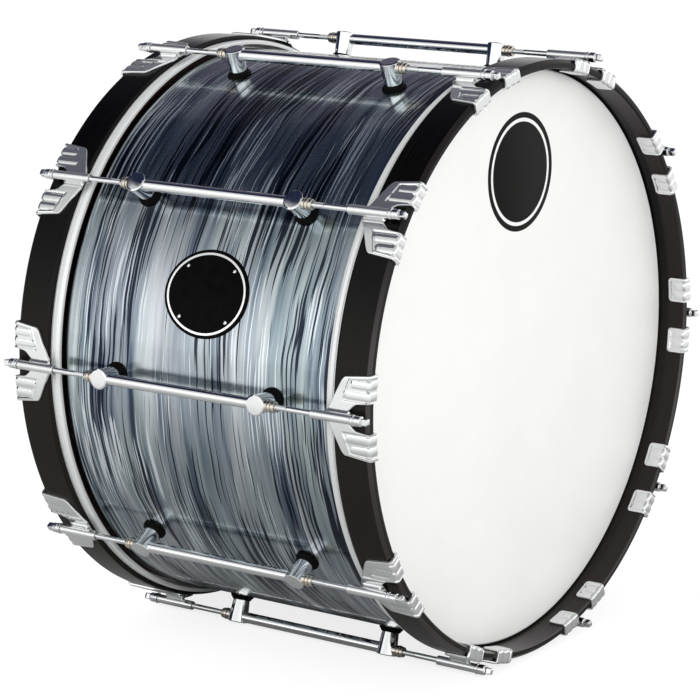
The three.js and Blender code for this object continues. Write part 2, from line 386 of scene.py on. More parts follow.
def plated(name, color, smooth, hazy, wave, metallic=1.0):
    """A metal whose haze drifts and whose surface swims a little."""
    made = Finish(name, base_color=color, metallic=metallic)
    here = made.place()
    drift = made.noise(here, 60, 3, 0.6)
    marks = made.noise(made.stretched(here, POLISH_MARKS), 1, 3, 0.7)
    made.set(roughness=made.span(drift * 0.7 + marks * 0.3, 0.35, 0.65, smooth, hazy))
    made.bump(made.noise(here, 130, 2, 0.5), wave, 0.001)
    return made


chrome = plated("chrome", (0.81, 0.82, 0.82), 0.04, 0.10, 0.05)
cast_chrome = plated("cast_chrome", (0.77, 0.78, 0.78), 0.05, 0.11, 0.05, 0.90)
rod_steel = plated("rod_steel", (0.80, 0.81, 0.82), 0.10, 0.20, 0.05)
print("plated:", [made.material.name for made in (chrome, cast_chrome, rod_steel)])

# %% [markdown]
# ## Wrap laminate
# The shell wears a plastic sheet with pearl streaks that run round it: slate bands, dark navy
# threads and near-white ones, under a clear gloss. Painted stripes would repeat; noise that is
# squeezed along the drum and drawn out round it gives streaks that taper and wander. Pearl
# flakes mirror a little, so the sheet is part metal, and the gloss is a clear coat.

# %% Streaks
SWAY_SCALE = (9, 9, 9)


def streaks(finish, across, round_it, shift, detail=2.0, sway=0.0):
    """Noise drawn out round the drum; across and round_it are features per metre."""
    here = finish.place()
    x, y, z = finish.split(here)
    if sway:
        bend = finish.noise(finish.stretched(here, SWAY_SCALE), 1, 2) - 0.5
        x = x + bend * sway
    moved = finish.joined(x * across + shift, y * round_it, z * round_it + shift)
    return finish.noise(moved, 1, detail, 0.5)


print("streaks run round the drum, at right angles to its axis")

# %% Where a finish changes


def zone(edge, start, end):
    """Where a change starts and ends, in metres, counted from an edge in millimetres."""
    return (edge + start) * MM, (edge + end) * MM


# Painted shade: near each end the wrap turns almost black, standing in for the shadow in the gap
# under the flesh hoop.
painted_shade_rim = zone(wrap_end, -7.3, -5.3)
print("the wrap darkens", round(painted_shade_rim[0], 4), "m from its middle")

# %% Wrap laminate
BAND_SWAY, THREAD_SWAY = 0.012, 0.014
THREAD_RANGE = (0.925, 0.965)
SLATE_RAMP = [(0.30, (0.012, 0.028, 0.060)), (0.37, (0.105, 0.150, 0.200)),
              (0.44, (0.245, 0.302, 0.340)), (0.55, (0.385, 0.442, 0.460)),
              (0.66, (0.570, 0.622, 0.628))]
# The last colour on the next line is the near-black of the painted shade at the wrap's ends.
PEARL, NAVY, PAINTED_SHADE_COLOR = (0.82, 0.89, 0.94), (0.006, 0.011, 0.026), (0.004, 0.005, 0.008)
GREENISH, PINKISH = (0.96, 1.01, 1.01), (1.03, 0.98, 1.03)


def laminate_color(finish):
    """The sheet's colour, with painted shade at its ends, and how far each point lies in a pale
    and in a dark thread.
    """

    def drawn(across, round_it, shift, sway=BAND_SWAY):
        return streaks(finish, across, round_it, shift, 1, sway)

    color = finish.ramp(drawn(48, 4.5, 3.1) * 0.45 + drawn(125, 6.0, 17.7) * 0.55, SLATE_RAMP)
    hue = finish.span(drawn(21, 3.0, 63.9), 0.40, 0.60)
    color = finish.stretched(color, finish.mix(hue, GREENISH, PINKISH))
    pale = finish.span(drawn(500, 8.0, 87.1, THREAD_SWAY) + drawn(30, 9.0, 29.9) * 0.6,
                       *THREAD_RANGE)
    color = finish.mix(pale * 0.85, color, PEARL)
    dark = finish.span(drawn(400, 7.5, 41.3, THREAD_SWAY) + drawn(34, 5.0, 53.7) * 0.7,
                       *THREAD_RANGE)
    color = finish.mix(dark * 0.95, color, NAVY)
    # rim here is the painted shade at both ends of the wrap, mixed over the streaks.
    rim = finish.span(finish.split(finish.place())[0].math("ABSOLUTE"), *painted_shade_rim)
    return finish.mix(rim * 0.97, color, PAINTED_SHADE_COLOR), pale, dark


wrap_laminate = Finish("wrap_laminate", coat_roughness=0.015)
color, pale, dark = laminate_color(wrap_laminate)
wrap_laminate.set(base_color=color, metallic=wrap_laminate.span(pale, 0, 1, 0.98, 0.87),
                  roughness=wrap_laminate.span(pale, 0, 1, 0.22, 0.28),
                  coat_weight=wrap_laminate.span(dark, 0, 1, 0.75, 0.10))
print("wrap laminate has", len(wrap_laminate.tree.nodes), "nodes")

# %% [markdown]
# ## Wood, lacquer, film and the small materials
# The hoops are bent wood under black lacquer: grain still lifts the gloss a little. The heads
# are white plastic film with a fine sprayed coat. Flat colours would do from far off, but a
# touch of wear tells what each one is: brushed rings on the aluminium, a dull bloom on the
# rubber. One pattern drives both colour and roughness, as it does on the real surface.

# %% One pattern for colour and roughness
NOISE_LOW, NOISE_HIGH = 0.3, 0.7


def mottled(finish, pattern, dark, pale, smooth, rough):
    """Lets a pattern drive a finish's colour and roughness, and hands back the colour."""
    color = finish.ramp(pattern, [(NOISE_LOW, dark), (NOISE_HIGH, pale)])
    finish.set(base_color=color,
               roughness=finish.span(pattern, NOISE_LOW, NOISE_HIGH, smooth, rough))
    return color


print("noise is used from", NOISE_LOW, "to", NOISE_HIGH)

# %% Hoop lacquer
hoop_lacquer = Finish("hoop_lacquer", specular_ior_level=0.13, coat_roughness=0.12)
grain = streaks(hoop_lacquer, 1500, 14, 5.0, 3, 0.004)
black = mottled(hoop_lacquer, grain, (0.0006, 0.0005, 0.0005), (0.0035, 0.0032, 0.003),
                0.18, 0.28)
hoop_lacquer.bump(grain, 0.12, 0.0004)
print("hoop lacquer has", len(hoop_lacquer.tree.nodes), "nodes")

# %% Where the lacquer browns towards the bottom, and where sheen and a highlight are painted on it
# Painted reflection: the inner wall is coloured a lighter warm brown for the sheen it catches,
# stopping 10 mm short of the head, where shade falls.
wall_sheen_radius, wall_sheen_along = zone(hoop_in, 0.4, 0.7), zone(film_top, 8.5, 11.5)
bevel_radius, bevel_along = zone(hoop_out, -3.3, -2.9), zone(hoop_face, -3.8, -3.4)
lip_radius, lip_along = zone(hoop_in, 1.6, 2.0), zone(hoop_face, -1.9, -1.5)
BROWN_ACROSS, BROWN_DOWN, SHINE_DOWN = (-0.05, 0.05), (0.12, -0.05), (0.20, 0.02)
# The second colour on the next line is the warm brown of the painted sheen and of the painted
# highlight.
BROWN_BLACK, PAINTED_SHEEN_BROWN = (0.0105, 0.0092, 0.0072), (0.017, 0.0125, 0.0125)
x, y, z = hoop_lacquer.split(hoop_lacquer.place())
radius = (y * y + z * z).math("SQRT")
wall_sheen = hoop_lacquer.span(radius, *wall_sheen_radius, 1, 0) * hoop_lacquer.span(x, *wall_sheen_along)
bevel_highlight = hoop_lacquer.span(radius, *bevel_radius) * hoop_lacquer.span(x, *bevel_along)
lip = hoop_lacquer.span(radius, *lip_radius, 1, 0) * hoop_lacquer.span(x, *lip_along)
# The lacquer turns a lighter warm brown towards the bottom of each hoop.
downward_share = hoop_lacquer.span(x, *BROWN_ACROSS) * hoop_lacquer.span(z, *BROWN_DOWN)
browner_below = hoop_lacquer.mix(downward_share, black, BROWN_BLACK)
# Painted highlight: the bevel takes half of the warm brown in its colour, besides its extra coat.
hoop_lacquer.set(base_color=hoop_lacquer.mix(wall_sheen + bevel_highlight * 0.5, browner_below, PAINTED_SHEEN_BROWN),
                 coat_weight=(bevel_highlight + lip) * hoop_lacquer.span(z, *SHINE_DOWN))
print("and with its worn places", len(hoop_lacquer.tree.nodes))

# %% Shell wood
shell_wood = Finish("shell_wood", coat_weight=0.1, coat_roughness=0.25)
fibres = streaks(shell_wood, 1100, 16, 2.0, 4, 0.02)
figure = streaks(shell_wood, 160, 12, 8.0, 3, 0.05)
# Painted shade: the mahogany is darkened to near black, since the wood shows only in the shaded
# gaps beside the flesh hoops.
SHADED_MAHOGANY_RAMP = [(0.35, (0.016, 0.005, 0.004)), (0.5, (0.040, 0.012, 0.009)),
                 (0.65, (0.085, 0.030, 0.022))]
shell_wood.set(base_color=shell_wood.ramp(fibres * 0.5 + figure * 0.5, SHADED_MAHOGANY_RAMP),
               roughness=shell_wood.span(fibres, NOISE_LOW, NOISE_HIGH, 0.45, 0.62))
shell_wood.bump(fibres, 0.25, 0.0003)
print("shell wood has", len(shell_wood.tree.nodes), "nodes")

# %% Head film
head_film = Finish("head_film", coat_weight=0.15, coat_roughness=0.35)
cloud = head_film.noise(head_film.place(), 14, 3, 0.6)
mottled(head_film, cloud, (0.875, 0.875, 0.865), (0.905, 0.905, 0.900), 0.40, 0.50)
head_film.bump(head_film.noise(head_film.place(), 1400, 2, 0.6), 0.18, 0.0003)
print("head film has", len(head_film.tree.nodes), "nodes")

# %% Aluminium, rubber and brass
flesh_hoop_metal = Finish("flesh_hoop_metal", base_color=(0.77, 0.78, 0.78), metallic=0.32)
brushing = streaks(flesh_hoop_metal, 2600, 9, 1.0, 2)
flesh_hoop_metal.set(roughness=flesh_hoop_metal.span(brushing, NOISE_LOW, NOISE_HIGH, 0.22, 0.40))
flesh_hoop_metal.bump(brushing, 0.10, 0.0002)

gasket_rubber = Finish("gasket_rubber", specular_ior_level=0.06)
bloom = gasket_rubber.noise(gasket_rubber.place(), 420, 3, 0.6)
mottled(gasket_rubber, bloom, (0.001, 0.001, 0.001), (0.004, 0.004, 0.004), 0.50, 0.68)
gasket_rubber.bump(bloom, 0.15, 0.0003)

nut_brass = plated("nut_brass", (0.70, 0.65, 0.57), 0.10, 0.20, 0.05)
print("finishes so far:", len(bpy.data.materials))

# %% Enamel and ink
badge_enamel = Finish("badge_enamel", specular_ior_level=0.03)
flow = badge_enamel.noise(badge_enamel.place(), 90, 2, 0.5)
mottled(badge_enamel, flow, (0.0005, 0.0005, 0.0006), (0.002, 0.002, 0.002), 0.06, 0.12)

print_ink = Finish("print_ink", specular_ior_level=0.08)
spread = print_ink.noise(print_ink.place(), 700, 3, 0.6)
mottled(print_ink, spread, (0.002, 0.0018, 0.0016), (0.006, 0.0056, 0.0050), 0.42, 0.55)
print_ink.bump(spread, 0.10, 0.0002)
print("finishes:", [material.name for material in bpy.data.materials])

# %% [markdown]
# ## Shell and wrap
# The shell is a bent wooden tube whose ends are cut to a rounded bearing edge for the heads.
# The wrap is half a millimetre of laminate glued round it, stopping short of both ends. A
# cylinder could be bevelled by hand, but then its two ends would never quite agree. So both
# are swept from outlines, with enough steps that no facet shows at their rim.

# %% Shell and wrap
RING_STEPS = 288
BEARING_CUT, BEARING_SLOPE = 2.4, 5.0


def ring_mesh(outline, name):
    """A closed outline, swept all the way round the drum."""
    return Shape().turned(outline, steps=RING_STEPS, closed=True).mesh(name)


edge_radius = shell_out - BEARING_CUT
shell_mesh = ring_mesh(softened([
    (-shell_end, edge_radius, 1.0), (-shell_end + BEARING_CUT, shell_out, 0.8),
    (shell_end - BEARING_CUT, shell_out, 0.8), (shell_end, edge_radius, 1.0),
    (shell_end - BEARING_SLOPE, shell_in, 0.8), (-shell_end + BEARING_SLOPE, shell_in, 0.8)]),
    "shell_wood")
wrap_mesh = ring_mesh(softened([
    (-wrap_end, wrap_in, 0.1), (-wrap_end, wrap_out, 0.2),
    (wrap_end, wrap_out, 0.2), (wrap_end, wrap_in, 0.1)]), "wrap_sheet")
piece("drum_shell", shell_mesh, shell_wood, "shell", replaces=["shell"])
piece("shell_wrap", wrap_mesh, wrap_laminate, "shell", replaces=["wrap"])
print("shell faces", len(shell_mesh.polygons), "wrap faces", len(wrap_mesh.polygons))

# %% [markdown]
# ## Hoops and heads
# Each end has three rings in one another. The film is stretched over the bearing edge and its
# hem is locked in the aluminium flesh hoop; the wooden hoop presses that down. The film could
# be a disc joined to a tube, but the join would show as a crease. Here it is one thin outline:
# the flat, the bend over the edge, the collar and the hem.

# %% Hoop and flesh hoop outlines
HOOP_GAP = 0.3
FLESH_WIDTH = 4.6
BEAD_DROP = 2.7
hoop_outline = softened([
    (hoop_back, hoop_in, 1.2), (hoop_back, hoop_out, 2.2),
    (hoop_face - 3.4, hoop_out, 1.2), (hoop_face, hoop_out - 3.2, 1.2),
    (hoop_face, hoop_in, 2.0)], 6)
flesh_top = hoop_back - HOOP_GAP
flesh_in = flesh_out - FLESH_WIDTH
bead = flesh_top - BEAD_DROP
wall_in, floor_top = flesh_in + 3.4, flesh_bottom + 2.4
flesh_outline = softened([
    (flesh_bottom, flesh_in, 0.6), (flesh_bottom, flesh_out - 0.9, 1.2),
    (flesh_bottom + 3.6, flesh_out, 3.0), (bead - 0.5, flesh_out - 0.2, 0.2),
    (bead, flesh_out - 0.9, 0.1), (bead + 0.5, flesh_out - 0.3, 0.2),
    (flesh_top, flesh_out - 0.7, 0.8), (flesh_top, wall_in, 0.5),
    (floor_top, wall_in, 0.5), (floor_top, flesh_in + 2.8, 0.2),
    (flesh_top - 1.5, flesh_in + 2.2, 0.3), (flesh_top - 1.5, flesh_in, 0.4)])
print("flesh hoop", round(flesh_in, 2), "to", round(flesh_out, 2))

# %% Film outline
FILM_THICKNESS = 0.4
film_path = softened([
    (film_top, 0, 0), (film_top, hoop_in - 1.7, 2.0), (hoop_back + 2, hoop_in - 0.9, 2.0),
    (flesh_bottom + 3.0, flesh_in + 3.1, 0)], 6, closed=False)


def thickened(path, depth):
    """A closed outline: the path, and back along itself a depth to the left."""
    back = []
    for k, point in enumerate(path):
        ahead = path[min(k + 1, len(path) - 1)] - path[max(k - 1, 0)]
        back.append(point + Vector((-ahead.y, ahead.x)).normalized() * depth)
    return path + back[::-1]


film_outline = thickened(film_path, FILM_THICKNESS)
film_outline[-1].y = 0
print("film outline has", len(film_outline), "points")

# %% Heads in place
hoop_mesh = ring_mesh(hoop_outline, "hoop")
flesh_mesh = ring_mesh(flesh_outline, "flesh_hoop")
film_mesh = Shape().turned(film_outline, steps=RING_STEPS).mesh("film")
for side, half_turn in SIDES:
    body, place = side + "_head", stand(0, half_turn)
    piece(side + "_wood_hoop", hoop_mesh, hoop_lacquer, body, place,
          [side + "_hoop"])
    piece(side + "_flesh_ring", flesh_mesh, flesh_hoop_metal, body, place,
          [side + "_flesh_hoop"])
    piece(side + "_drum_head", film_mesh, head_film, body, place,
          [side + "_head_film"])
print("hoop faces", len(hoop_mesh.polygons), "film faces", len(film_mesh.polygons))

# %% [markdown]
# ## Claws
# Twenty castings hook over the hoops. Each has a sleeve for the rod and two prongs, bent over
# the hoop's face and back inside it, with two raised bars that stiffen each prong. A box with
# cuts would lose the casting's soft edges, so each prong is one grid: stations along its bent
# path, columns across it, and a height at every crossing for bars, panel and rounded edge.

# %% The path of a prong
CLAW_WALL, CLAW_LIFT, CLAW_GAP = 2.2, 0.5, 0.3
CLAW_LENGTH, PAD_LENGTH = 44.9, 19.9
BEND = 3.4
claw_height = hoop_out + CLAW_LIFT + CLAW_WALL
claw_face = hoop_face + CLAW_GAP + CLAW_WALL
claw_root, pad_end = claw_face - CLAW_LENGTH, claw_face - PAD_LENGTH
pad_height = hoop_in - CLAW_LIFT - CLAW_WALL
bend_x = claw_face - BEND
flat_run = bend_x - claw_root
lip_run = claw_height - pad_height - 2 * BEND
quarter = BEND * math.pi / 2
prong_run = flat_run + lip_run + bend_x - pad_end + 2 * quarter


def prong_station(s):
    """x, radius and outward direction of a prong's face, a distance s from its root."""
    if s <= flat_run:
        return claw_root + s, claw_height, 0, 1
    s -= flat_run
    if s <= quarter:
        c, w = math.cos(s / BEND), math.sin(s / BEND)
        return bend_x + BEND * w, claw_height - BEND + BEND * c, w, c
    s -= quarter
    if s <= lip_run:
        return claw_face, claw_height - BEND - s, 1, 0
    s -= lip_run
    if s <= quarter:
        c, w = math.cos(s / BEND), math.sin(s / BEND)
        return bend_x + BEND * c, pad_height + BEND - BEND * w, c, -w
    return bend_x - (s - quarter), pad_height, 0, -1


print("a prong is", round(prong_run, 1), "mm long round its bends")

# %% The outline of a prong
INNER_EDGE = [(0, 1.5), (19, 2.0), (23.5, 6.5), (29, 12), (CLAW_LENGTH, 14)]
OUTER_EDGE = [(0, 6), (14.6, 36), (CLAW_LENGTH, 39.5)]
PAD_CORNER = 4.0
EASING_WINDOW = (-2.4, -1.2, 0, 1.2, 2.4)


def along_line(knots, x):
    """The height at x of a line of straight stretches between knots."""
    for (x0, y0), (x1, y1) in zip(knots, knots[1:]):
        if x <= x1:
            return y0 + (y1 - y0) * max(x - x0, 0) / (x1 - x0)
    return knots[-1][1]


def prong_edges(s):
    """Where a prong begins and ends across the claw, with its corners eased."""
    x = min(s, flat_run + BEND)
    inner, outer = (sum(along_line(edge, x + shift) for shift in EASING_WINDOW)
                    / len(EASING_WINDOW) for edge in (INNER_EDGE, OUTER_EDGE))
    left = prong_run - s
    if left < PAD_CORNER:
        inset = PAD_CORNER - math.sqrt(PAD_CORNER ** 2 - (PAD_CORNER - left) ** 2)
        inner, outer = inner + inset, outer - inset
    return inner, outer


print("prong at its lip, across:", [round(v, 1) for v in prong_edges(flat_run + quarter)])

# %% The relief of a prong
BARS = ((20.2, 20.0), (30.3, 26.0))
BAR_HEIGHT, BAR_HALF, BAR_STOP = 0.65, 3.7, 8.0
PANEL_DEPTH, PANEL_RIM, PANEL_END = 0.6, 2.8, 2.6
PANEL_CORNER, PANEL_SLANT = (17.5, 20.4), (13.6, 5)
RIDGE_HEIGHT, RIDGE_HALF = 0.45, 1.1
NOTCHES = [(flat_run + 1.4, t, 3.0, 0.9) for t in (15.6, 25.25, 34.9)]
NOTCHES += [(prong_run - 6.0, centre, 1.6, 2.8) for centre, _ in BARS]
NOTCH_DEPTH = 1.3


def eased(value, low, high):
    """0 below low and 1 above high, with a soft step between."""
    t = min(max((value - low) / (high - low), 0), 1)
    return t * t * (3 - 2 * t)


def relief(s, t):
    """Height cast into a prong's face: a sunk panel with two round-ended bars in it."""
    (corner_s, corner_t), (rise, run) = PANEL_CORNER, PANEL_SLANT
    slant = ((s - corner_s) * rise - (t - corner_t) * run) / math.hypot(rise, run)
    rim = along_line(OUTER_EDGE, min(s, flat_run + BEND)) - PANEL_RIM
    inside = min(slant, rim - t, prong_run - PANEL_END - s)
    height = -PANEL_DEPTH * eased(inside, -0.6, 0.6) * eased(t, 14.2, 15.1)
    height += RIDGE_HEIGHT * max(1 - (inside / RIDGE_HALF) ** 2, 0) * eased(t, 17, 19)
    for notch_s, notch_t, half_long, half_wide in NOTCHES:
        q = math.hypot((s - notch_s) / half_long, (t - notch_t) / half_wide)
        height -= NOTCH_DEPTH * max(1 - q * q, 0)
    for centre, start in BARS:
        past = max(start - s, s - (prong_run - BAR_STOP), 0)
        q = math.hypot(past, t - centre) / BAR_HALF
        if q < 1:
            height += BAR_HEIGHT * (1 - q * q) ** 0.75 * (1 + 0.8 * eased(s, 56, 60))
    return height


print("a bar rises", round(relief(40.0, BARS[0][0]), 2), "mm; the panel lies",
      round(relief(40.0, 25.25), 2), "mm")

# %% The grid of a prong
EDGE = 0.7
EDGE_STEPS = (0, 0.1, 0.3, EDGE)
BAR_SHARES = (-1, -0.92, -0.8, -0.6, -0.3, 0, 0.3, 0.6, 0.8, 0.92, 1)
BAR_COLUMNS = [centre + BAR_HALF * share for centre, _ in BARS for share in BAR_SHARES]
COLUMNS = sorted([2, 4, 6, 8, 10, 12, 13.2, 14.2, 14.7, 15.1, 15.6, 24.6, 25.25, 25.9]
                 + [34.4 + 0.4 * k for k in range(11)] + BAR_COLUMNS)
FINE_STEP, COARSE_STEP, LAST_STEP = 0.65, 1.1, 1.2
PROBE = 0.3
MOST_LEAN = 0.4
UNDER_STEPS = 8


def edge_drop(distance):
    """How far a rounded edge of the casting has fallen at a distance inside it."""
    return EDGE - math.sqrt(max(EDGE ** 2 - max(EDGE - distance, 0) ** 2, 0))


def prong_stations():
    """Distances along a prong: close together at both ends and where it bends."""
    stations = list(EDGE_STEPS)
    while stations[-1] + LAST_STEP < prong_run - EDGE:
        fine = stations[-1] < flat_run + quarter
        stations.append(stations[-1] + (FINE_STEP if fine else COARSE_STEP))
    return stations + [prong_run - step for step in reversed(EDGE_STEPS)]


def prong_rows(hand):
    """One closed row of points for each station: over the face and back underneath."""
    stations = prong_stations()
    rows = []
    for s in stations:
        x, radius, out_x, out_r = prong_station(s)
        inner, outer = prong_edges(s)
        ahead, behind = prong_edges(min(s + PROBE, prong_run)), prong_edges(max(s - PROBE, 0))
        lean = [math.hypot(1, (a - b) / (2 * PROBE)) for a, b in zip(ahead, behind)]
        lean = [min(value, (outer - inner) * MOST_LEAN / EDGE) for value in lean]
        low, high = inner + EDGE * lean[0], outer - EDGE * lean[1]
        across = [(inner + step * lean[0], step) for step in EDGE_STEPS[:3]]
        across += [(min(max(t, low), high), EDGE) for t in (low, *COLUMNS, high)]
        across += [(outer - step * lean[1], step) for step in reversed(EDGE_STEPS[:3])]
        end = edge_drop(min(s, prong_run - s))
        face = [(t, relief(s, t) * eased(d, 0, EDGE) - max(edge_drop(d), end)) for t, d in across]
        under = [(inner + (outer - inner) * k / UNDER_STEPS, -CLAW_WALL)
                 for k in range(UNDER_STEPS, -1, -1)]
        row = []
        for t, height in face + under:
            r = radius + out_r * height
            row.append((x + out_x * height, hand * t, math.sqrt(r * r - t * t)))
        rows.append(row)
    return rows


claw_shape = Shape().sheet(prong_rows(1), caps=True).sheet(prong_rows(-1), caps=True)
print("the prongs have", len(claw_shape.faces), "faces")

# %% The sleeve, and the web that carries it
ROD_STANDOFF = 9.3
SLEEVE_FROM, SLEEVE_TO = hoop_face - 55.8, hoop_face - 11.2
SLEEVE_RADIUS, SLEEVE_BORE = 4.6, 3.1
WEB_SETBACK, WEB_LENGTH = 1, 20
WEB_LEVELS = ((293.9, 5.2, 3), (294.7, 4.2, 1.6), (295.6, 3.4, 0.6), (298.4, 3.2, 0))
rod_circle = hoop_out + ROD_STANDOFF
web_from = claw_root + WEB_SETBACK
web_to = web_from + WEB_LENGTH


def about_rod(along, u, v):
    """Sweeps round the rod of the lug at the top."""
    return along, u, rod_circle + v


claw_shape.turned(softened([
    (SLEEVE_FROM, SLEEVE_BORE, 0.3), (SLEEVE_FROM, SLEEVE_RADIUS, 0.8),
    (SLEEVE_TO, SLEEVE_RADIUS, 0.8), (SLEEVE_TO, SLEEVE_BORE, 0.3)]), about_rod, 40, closed=True)
web_rows = []
for level, half, grow in WEB_LEVELS:
    web = softened([(web_from - grow, -half, 2), (web_to + grow, -half, 2),
                    (web_to + grow, half, 2), (web_from - grow, half, 2)])
    web_rows.append([(p.x, p.y, level) for p in web])
claw_shape.sheet(web_rows, caps=True)
claw_mesh = claw_shape.mesh("claw", 50)
print("claw faces", len(claw_mesh.polygons))

# %% [markdown]
# ## Tension rods
# A rod is a long screw: a thread that runs into the lug's nut, a bright shank, a collar that
# bears on the claw and a square key at the end. A bump on a smooth bar would look like a
# thread until its outline shows. So this thread is a real ridge that climbs one pitch in each
# turn, made by shifting the ridge's place a little at every column.

# %% The thread
ROD_RADIUS = 2.75
ROD_START, THREAD_END = 80.0, 126.0
THREAD_PITCH, THREAD_DEPTH, THREAD_FADE = 1.06, 0.42, 2
STEPS_A_PITCH = 4
ROD_SIDES = 20


def rod_row(x, radii):
    """One ring of points round the rod, with a radius for each of its sides."""
    angles = [2 * math.pi * k / ROD_SIDES for k in range(ROD_SIDES)]
    return [about_rod(x, r * math.sin(a), r * math.cos(a)) for r, a in zip(radii, angles)]


def thread_rows():
    """Rings along the rod that follow the ridge of its thread until it fades out."""
    steps = round((THREAD_END - ROD_START) / THREAD_PITCH * STEPS_A_PITCH)
    rows = [rod_row(ROD_START, [0] * ROD_SIDES)]
    for i in range(steps + 1):
        x = ROD_START + (THREAD_END - ROD_START) * i / steps
        fade = min(1, (THREAD_END - x) / THREAD_FADE)
        turns = [(x / THREAD_PITCH - k / ROD_SIDES) % 1 for k in range(ROD_SIDES)]
        rows.append(rod_row(x, [ROD_RADIUS - THREAD_DEPTH * fade * abs(2 * turn - 1)
                                for turn in turns]))
    return rows


rod_rows = thread_rows()
print("the thread makes", round((THREAD_END - ROD_START) / THREAD_PITCH), "turns")

# %% Shank, collar and key
COLLAR_GAP, COLLAR_LENGTH = 0.3, 10.1
KEY_HALF = 3.2
KEY_STATIONS = ((-1.0, 0.9), (0.2, 0.9), (0.6, 1.0), (4.6, 1.0), (6.0, 0.92), (6.8, 0.76),
                (7.15, 0.5), (7.2, 0))
collar_from = SLEEVE_TO + COLLAR_GAP
collar_to = collar_from + COLLAR_LENGTH
shank_end = collar_from + 1
for x, radius in ((THREAD_END + 0.3, ROD_RADIUS), (shank_end, ROD_RADIUS), (shank_end, 0)):
    rod_rows.append(rod_row(x, [radius] * ROD_SIDES))
rod_shape = Shape().sheet(rod_rows)
rod_shape.turned(softened([
    (collar_from, 0, 0), (collar_from, 5.3, 0.5), (collar_from + 2.2, 5.3, 0.5),
    (collar_from + 2.6, 4.3, 0.3), (collar_from + 3.3, 4.3, 0.3), (collar_from + 4.0, 5.0, 0.7),
    (collar_to, 4.8, 1.2), (collar_to, 0, 0)]), about_rod, 36)
square = softened([(-1, -1, 0.3), (1, -1, 0.3), (1, 1, 0.3), (-1, 1, 0.3)])
rod_shape.sheet([[about_rod(collar_to + x, p.x * KEY_HALF * share, p.y * KEY_HALF * share)
                  for p in square] for x, share in KEY_STATIONS], caps=True)
rod_mesh = rod_shape.mesh("rod", 40)
print("rod faces", len(rod_mesh.polygons))

# %% [markdown]
# ## Tube lugs
# Each lug ties the two ends together: a tube between two posts, screwed through the shell on
# rubber gaskets, with a brass nut at each end. Ready-made cylinders could be stacked for them,
# but every step between two would be sharp. So each part is turned from an outline of its own,
# and a small function says where that outline's axis lies; the gasket's also bends its foot to
# the shell, so that no gap shows under it.

# %% Where each part of a lug is turned
POST_X = 92.2
GASKET_SEAT, GASKET_TOP = 4.5, 4.9


def about_post(hand):
    """Turns an outline round a post, outward from the drum's axis."""
    return lambda along, u, v: (hand * POST_X + u, hand * v, along)


def on_shell(hand):
    """The same, with the foot of the outline bent to the curve of the shell."""

    def place(along, u, v):
        sink = (wrap_out - math.sqrt(wrap_out ** 2 - v * v)) * (1 - along / GASKET_TOP)
        return hand * POST_X + u, hand * v, wrap_out + along - sink

    return place


def out_of_post(hand):
    """Turns an outline round the rod's line, away from the middle of the lug."""
    return lambda along, u, v: (hand * along, hand * u, rod_circle + v)


print("posts at", POST_X, "mm either side of the middle")

# %% Posts and tube
TUBE_RADIUS = 5.5
post_foot = wrap_out + GASKET_SEAT - 1
post_outline = softened([
    (post_foot, 0, 0), (post_foot, 8.2, 0.3), (rod_circle + 5.6, 10.2, 0.6),
    (rod_circle + 6.3, 8.6, 0.8), (rod_circle + 6.8, 0, 0)])
casting = Shape().turned([(-POST_X, 0), (-POST_X, TUBE_RADIUS), (POST_X, TUBE_RADIUS),
                          (POST_X, 0)], about_rod)
for hand in (1, -1):
    casting.turned(post_outline, about_post(hand), 64)
casting_mesh = casting.mesh("lug_casting", 38)
print("lug casting faces", len(casting_mesh.polygons))

# %% Gaskets, nuts and screws
gasket_outline = softened([
    (0, 0, 0), (0, 11.9, 0.2), (1.9, 11.7, 0.6), (3.2, 10.2, 1.2), (GASKET_TOP, 9.6, 0.5),
    (GASKET_TOP, 0, 0)])
nut_outline = softened([
    (97, 3.1, 0), (97, 5.6, 0.2), (104.4, 5.6, 0.4), (104.4, 4.4, 0.2), (105.3, 4.4, 0.2),
    (105.3, 5.9, 0.6), (108.0, 5.9, 0.6), (108.0, 4.5, 0.2), (108.8, 4.5, 0.2),
    (108.8, 5.3, 0.5), (111.9, 5.1, 0.9), (111.9, 3.1, 0.2)])
washer_outline = softened([(shell_in - 1.5, 0, 0), (shell_in - 1.5, 9, 0.3),
                           (shell_in, 9, 0.3), (shell_in, 0, 0)])
hexagon_outline = [(shell_in - 5.2, 0), (shell_in - 5.2, 5.4), (shell_in - 4.7, 6.2),
                   (shell_in - 1.4, 6.2), (shell_in - 1.4, 0)]
gaskets, nuts, screws = Shape(), Shape(), Shape()
for hand in (1, -1):
    gaskets.turned(gasket_outline, on_shell(hand), 56)
    nuts.turned(nut_outline, out_of_post(hand), 40, closed=True)
    screws.turned(washer_outline, about_post(hand), 36)
    screws.turned(hexagon_outline, about_post(hand), 6)
gasket_mesh, nut_mesh = gaskets.mesh("lug_gaskets"), nuts.mesh("lug_nuts")
screw_mesh = screws.mesh("lug_screws", 30)
print("small hardware faces", sum(len(m.polygons) for m in (gasket_mesh, nut_mesh, screw_mesh)))

# %% Lugs, claws and rods in place
for k, angle in enumerate(lug_angles):
    number = f"{k + 1:02d}"
    place = stand(angle)
    piece("lug_casting_" + number, casting_mesh, chrome, "shell", place,
          ["tube_lug_" + number])
    piece("lug_gaskets_" + number, gasket_mesh, gasket_rubber, "shell", place)
    piece("lug_nuts_" + number, nut_mesh, nut_brass, "shell", place)
    piece("lug_screws_" + number, screw_mesh, rod_steel, "shell", place)
    for side, half_turn in SIDES:
        place = stand(angle, half_turn)
        piece(f"{side}_hook_{number}", claw_mesh, cast_chrome, side + "_head", place,
              [f"{side}_claw_{number}"])
        piece(f"{side}_key_rod_{number}", rod_mesh, rod_steel, f"{side}_tension_rod_{number}",
              place, [f"{side}_rod_{number}"])
print("hardware in place:", LUG_COUNT, "lugs,", 2 * LUG_COUNT, "claws and rods")

